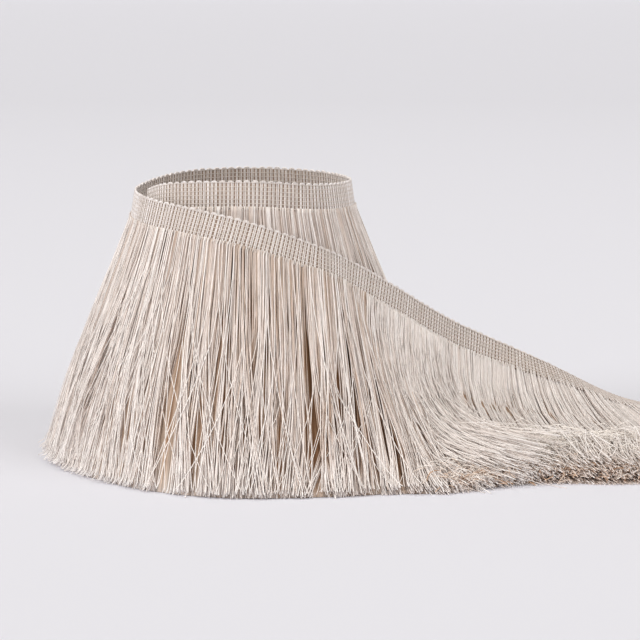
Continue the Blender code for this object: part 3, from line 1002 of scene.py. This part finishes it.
def yarn_material(name, colours, twist, bump, mottled=(0.86, 1.06), gloss=(0.35, 0.18)):
    """Yarn: each one its own tint, mottled along its length, with a twist in relief.

    colours run from the darkest tint to the lightest, twist is the length of a turn, bump is
    the relief's strength, mottled is the least and the most that the mottle multiplies the
    colour by, and gloss is the specular level and the sheen.
    """
    material, nodes, links, shader = new_material(name)
    deep, dark, middle, light = colours
    tint = nodes.new("ShaderNodeAttribute")
    tint.attribute_name = "tint"
    ramp = nodes.new("ShaderNodeValToRGB")
    ramp.color_ramp.elements[0].color = (*deep, 1)
    ramp.color_ramp.elements[1].color = (*light, 1)
    for place, colour in zip(TINT_PLACES, (dark, middle)):
        ramp.color_ramp.elements.new(place).color = (*colour, 1)
    links.new(tint.outputs["Fac"], ramp.inputs["Fac"])
    uv = nodes.new("ShaderNodeUVMap")
    uv.uv_map = "yarn"
    stretch = nodes.new("ShaderNodeMapping")
    set_inputs(stretch, {"Scale": (1.0, MOTTLES_PER_METRE, 1.0)})
    links.new(uv.outputs["UV"], stretch.inputs["Vector"])
    mottle = nodes.new("ShaderNodeTexNoise")
    set_inputs(mottle, {"Scale": 1.0, "Detail": 3.0})
    links.new(stretch.outputs["Vector"], mottle.inputs["Vector"])
    soften = nodes.new("ShaderNodeMapRange")
    set_inputs(soften, {"From Min": 0.3, "From Max": 0.7})
    set_inputs(soften, {"To Min": mottled[0], "To Max": mottled[1]})
    links.new(mottle.outputs["Fac"], soften.inputs["Value"])
    tone = nodes.new("ShaderNodeMix")
    tone.data_type = "RGBA"
    tone.blend_type = "MULTIPLY"
    set_inputs(tone, {"Factor": 1.0})
    links.new(ramp.outputs["Color"], tone.inputs["A"])
    links.new(soften.outputs["Result"], tone.inputs["B"])
    links.new(tone.outputs["Result"], shader.inputs["Base Color"])
    split = nodes.new("ShaderNodeSeparateXYZ")
    links.new(uv.outputs["UV"], split.inputs["Vector"])
    climb = nodes.new("ShaderNodeMath")
    climb.operation = "MULTIPLY_ADD"
    set_inputs(climb, {1: 2 * math.pi / twist})
    links.new(split.outputs["Y"], climb.inputs[0])
    around = nodes.new("ShaderNodeMath")
    around.operation = "MULTIPLY"
    set_inputs(around, {1: 2 * math.pi * PLIES})
    links.new(split.outputs["X"], around.inputs[0])
    links.new(around.outputs["Value"], climb.inputs[2])
    ply = nodes.new("ShaderNodeMath")
    ply.operation = "SINE"
    links.new(climb.outputs["Value"], ply.inputs[0])
    relief = nodes.new("ShaderNodeBump")
    set_inputs(relief, {"Strength": bump, "Distance": TWIST_DEPTH})
    links.new(ply.outputs["Value"], relief.inputs["Height"])
    links.new(relief.outputs["Normal"], shader.inputs["Normal"])
    set_inputs(shader, {"Roughness": 0.52, "Specular IOR Level": gloss[0]})
    set_inputs(shader, {"Sheen Weight": gloss[1], "Sheen Roughness": 0.45})
    set_inputs(shader, {"Sheen Tint": (1.0, 0.97, 0.93, 1)})
    return material


def ground_material():
    """The tape's ground between its ribs: close weave, in painted shade, darker for lying deeper.
    """
    material, nodes, links, shader = new_material("woven ground in painted shade")
    place = nodes.new("ShaderNodeTexCoord")
    weave = nodes.new("ShaderNodeTexNoise")
    set_inputs(weave, {"Scale": 1400.0, "Detail": 4.0})
    links.new(place.outputs["Object"], weave.inputs["Vector"])
    ramp = nodes.new("ShaderNodeValToRGB")
    ramp.color_ramp.elements[0].position = 0.3
    ramp.color_ramp.elements[0].color = (*GROUND_SHADE_COLOURS[0], 1)
    ramp.color_ramp.elements[1].position = 0.7
    ramp.color_ramp.elements[1].color = (*GROUND_SHADE_COLOURS[1], 1)
    links.new(weave.outputs["Fac"], ramp.inputs["Fac"])
    links.new(ramp.outputs["Color"], shader.inputs["Base Color"])
    relief = nodes.new("ShaderNodeBump")
    set_inputs(relief, {"Strength": 0.5, "Distance": 0.0002})
    links.new(weave.outputs["Fac"], relief.inputs["Height"])
    links.new(relief.outputs["Normal"], shader.inputs["Normal"])
    set_inputs(shader, {"Roughness": 0.9})
    return material


# The floor's colour near the trim and far off, where painted shade darkens it, and the distances
# at which they change
FLOOR_COLOUR_AND_FAR_SHADE = ((0.757, 0.770, 0.833), (0.690, 0.702, 0.760))
FLOOR_CHANGE = (0.3, 4.0)

# How far the floor is level, and the radius, height, steps and sides of its upturned edge
FLOOR_RADIUS = 30.0
FLOOR_CURVE = 4.0
FLOOR_HEIGHT = 6.0
FLOOR_STEPS = 12
FLOOR_SIDES = 96


def make_stage():
    """A pale floor that curves up into a backdrop on all sides."""
    material, nodes, links, shader = new_material("studio paper")
    place = nodes.new("ShaderNodeTexCoord")
    distance = nodes.new("ShaderNodeVectorMath")
    distance.operation = "LENGTH"
    links.new(place.outputs["Object"], distance.inputs[0])
    ramp = nodes.new("ShaderNodeMapRange")
    set_inputs(ramp, {"From Min": FLOOR_CHANGE[0], "From Max": FLOOR_CHANGE[1]})
    links.new(distance.outputs["Value"], ramp.inputs["Value"])
    # Painted shade: the floor darkens far from the trim
    tone = nodes.new("ShaderNodeMix")
    tone.data_type = "RGBA"
    set_inputs(tone, {"A": (*FLOOR_COLOUR_AND_FAR_SHADE[0], 1), "B": (*FLOOR_COLOUR_AND_FAR_SHADE[1], 1)})
    links.new(ramp.outputs["Result"], tone.inputs["Factor"])
    links.new(tone.outputs["Result"], shader.inputs["Base Color"])
    set_inputs(shader, {"Roughness": 0.95, "Specular IOR Level": 0.1})
    profile = [(0.0, 0.0), (FLOOR_RADIUS, 0.0)]
    for i in range(1, FLOOR_STEPS + 1):
        a = math.pi / 2 * i / FLOOR_STEPS
        radius = FLOOR_RADIUS + FLOOR_CURVE * math.sin(a)
        profile.append((radius, FLOOR_CURVE * (1 - math.cos(a))))
    profile.append((FLOOR_RADIUS + FLOOR_CURVE, FLOOR_HEIGHT))
    around = FLOOR_SIDES
    verts = [(0.0, 0.0, 0.0)]
    for radius, z in profile[1:]:
        for k in range(around):
            b = 2 * math.pi * k / around
            verts.append((radius * math.cos(b), radius * math.sin(b), z))
    faces = [(0, 1 + k, 1 + (k + 1) % around) for k in range(around)]
    for ring in range(len(profile) - 2):
        a, b = 1 + ring * around, 1 + (ring + 1) * around
        for k in range(around):
            j = (k + 1) % around
            faces.append((a + k, b + k, b + j, a + j))
    mesh = bpy.data.meshes.new("studio_floor")
    mesh.from_pydata(verts, [], faces)
    mesh.shade_smooth()
    mesh.materials.append(material)
    floor = bpy.data.objects.new("studio_floor", mesh)
    bpy.context.scene.collection.objects.link(floor)


# Far, soft lights: each comes from the direction of toward, and softness is in degrees
Lamp = namedtuple("Lamp", "name toward softness strength colour")
LAMPS = (
    Lamp("key", (-1.85, -1.25, 1.00), 32, 1.65, (1.0, 0.982, 0.958)),
    Lamp("front", (-0.1, -2.0, 0.70), 40, 0.30, (1.0, 0.982, 0.958)),
    Lamp("fill", (1.6, -1.4, 0.60), 50, 1.36, (1.0, 0.982, 0.958)),
    Lamp("top", (0.1, -0.3, 2.2), 50, 0.78, (1.0, 0.985, 0.965)),
)
SKY_COLOUR = (1.0, 0.94, 0.865)
SKY_STRENGTH = 0.47


def add_sun(name, toward, softness, strength, colour):
    """A far and soft light that comes from the direction of the point toward."""
    data = bpy.data.lights.new(name, "SUN")
    data.angle = math.radians(softness)
    data.energy = strength
    data.color = colour
    light = bpy.data.objects.new(name, data)
    light.location = toward
    light.rotation_euler = Vector(toward).to_track_quat("Z", "Y").to_euler()
    bpy.context.scene.collection.objects.link(light)


def make_lights():
    """The lamps, and a pale sky that lights every side."""
    for lamp in LAMPS:
        add_sun(*lamp)
    world = bpy.data.worlds.new("studio")
    bpy.context.scene.world = world
    world.use_nodes = True
    sky = world.node_tree.nodes["Background"]
    set_inputs(sky, {"Color": (*SKY_COLOUR, 1), "Strength": SKY_STRENGTH})


def make_camera():
    """The photograph's view, level from side to side and tipped down by the pitch."""
    data = bpy.data.cameras.new("camera")
    data.sensor_width = SENSOR
    data.lens = SENSOR * FOCAL_PIXELS / PICTURE_PIXELS
    data.clip_end = 50
    camera = bpy.data.objects.new("camera", data)
    camera.location = CAMERA_PLACE
    camera.rotation_euler = (math.pi / 2 - CAMERA_PITCH, 0, 0)
    bpy.context.scene.collection.objects.link(camera)
    bpy.context.scene.camera = camera


make_camera()
make_stage()
make_lights()
view = bpy.context.scene.view_settings
view.view_transform = "Standard"
view.gamma = 0.87
view.exposure = 0.045
bpy.context.scene.cycles.diffuse_bounces = 8

yarn = yarn_material("cut yarn", YARN_COLOURS, YARN_TWIST, 0.2, gloss=(0.3, 0.08))
inside = yarn_material(
    "cut yarn inside in painted shade", INSIDE_SHADE_COLOURS, YARN_TWIST, 0.0, mottled=(0.55, 1.25), gloss=(0.05, 0.0)
)
ends = yarn_material("cut ends", ENDS_COLOURS, YARN_TWIST, 0.1, gloss=(0.1, 0.02))
weft = yarn_material("tape weft", WEFT_COLOURS, WEFT_TWIST, 0.6)
warp = yarn_material("tape warp", WARP_COLOURS, WARP_TWIST, 0.4)

fringe = [*make_fringe(yarn, ends), make_core(inside)]
ground = make_sheet(ground_material())
ribs = make_weft(weft)
threads = make_warp(warp)
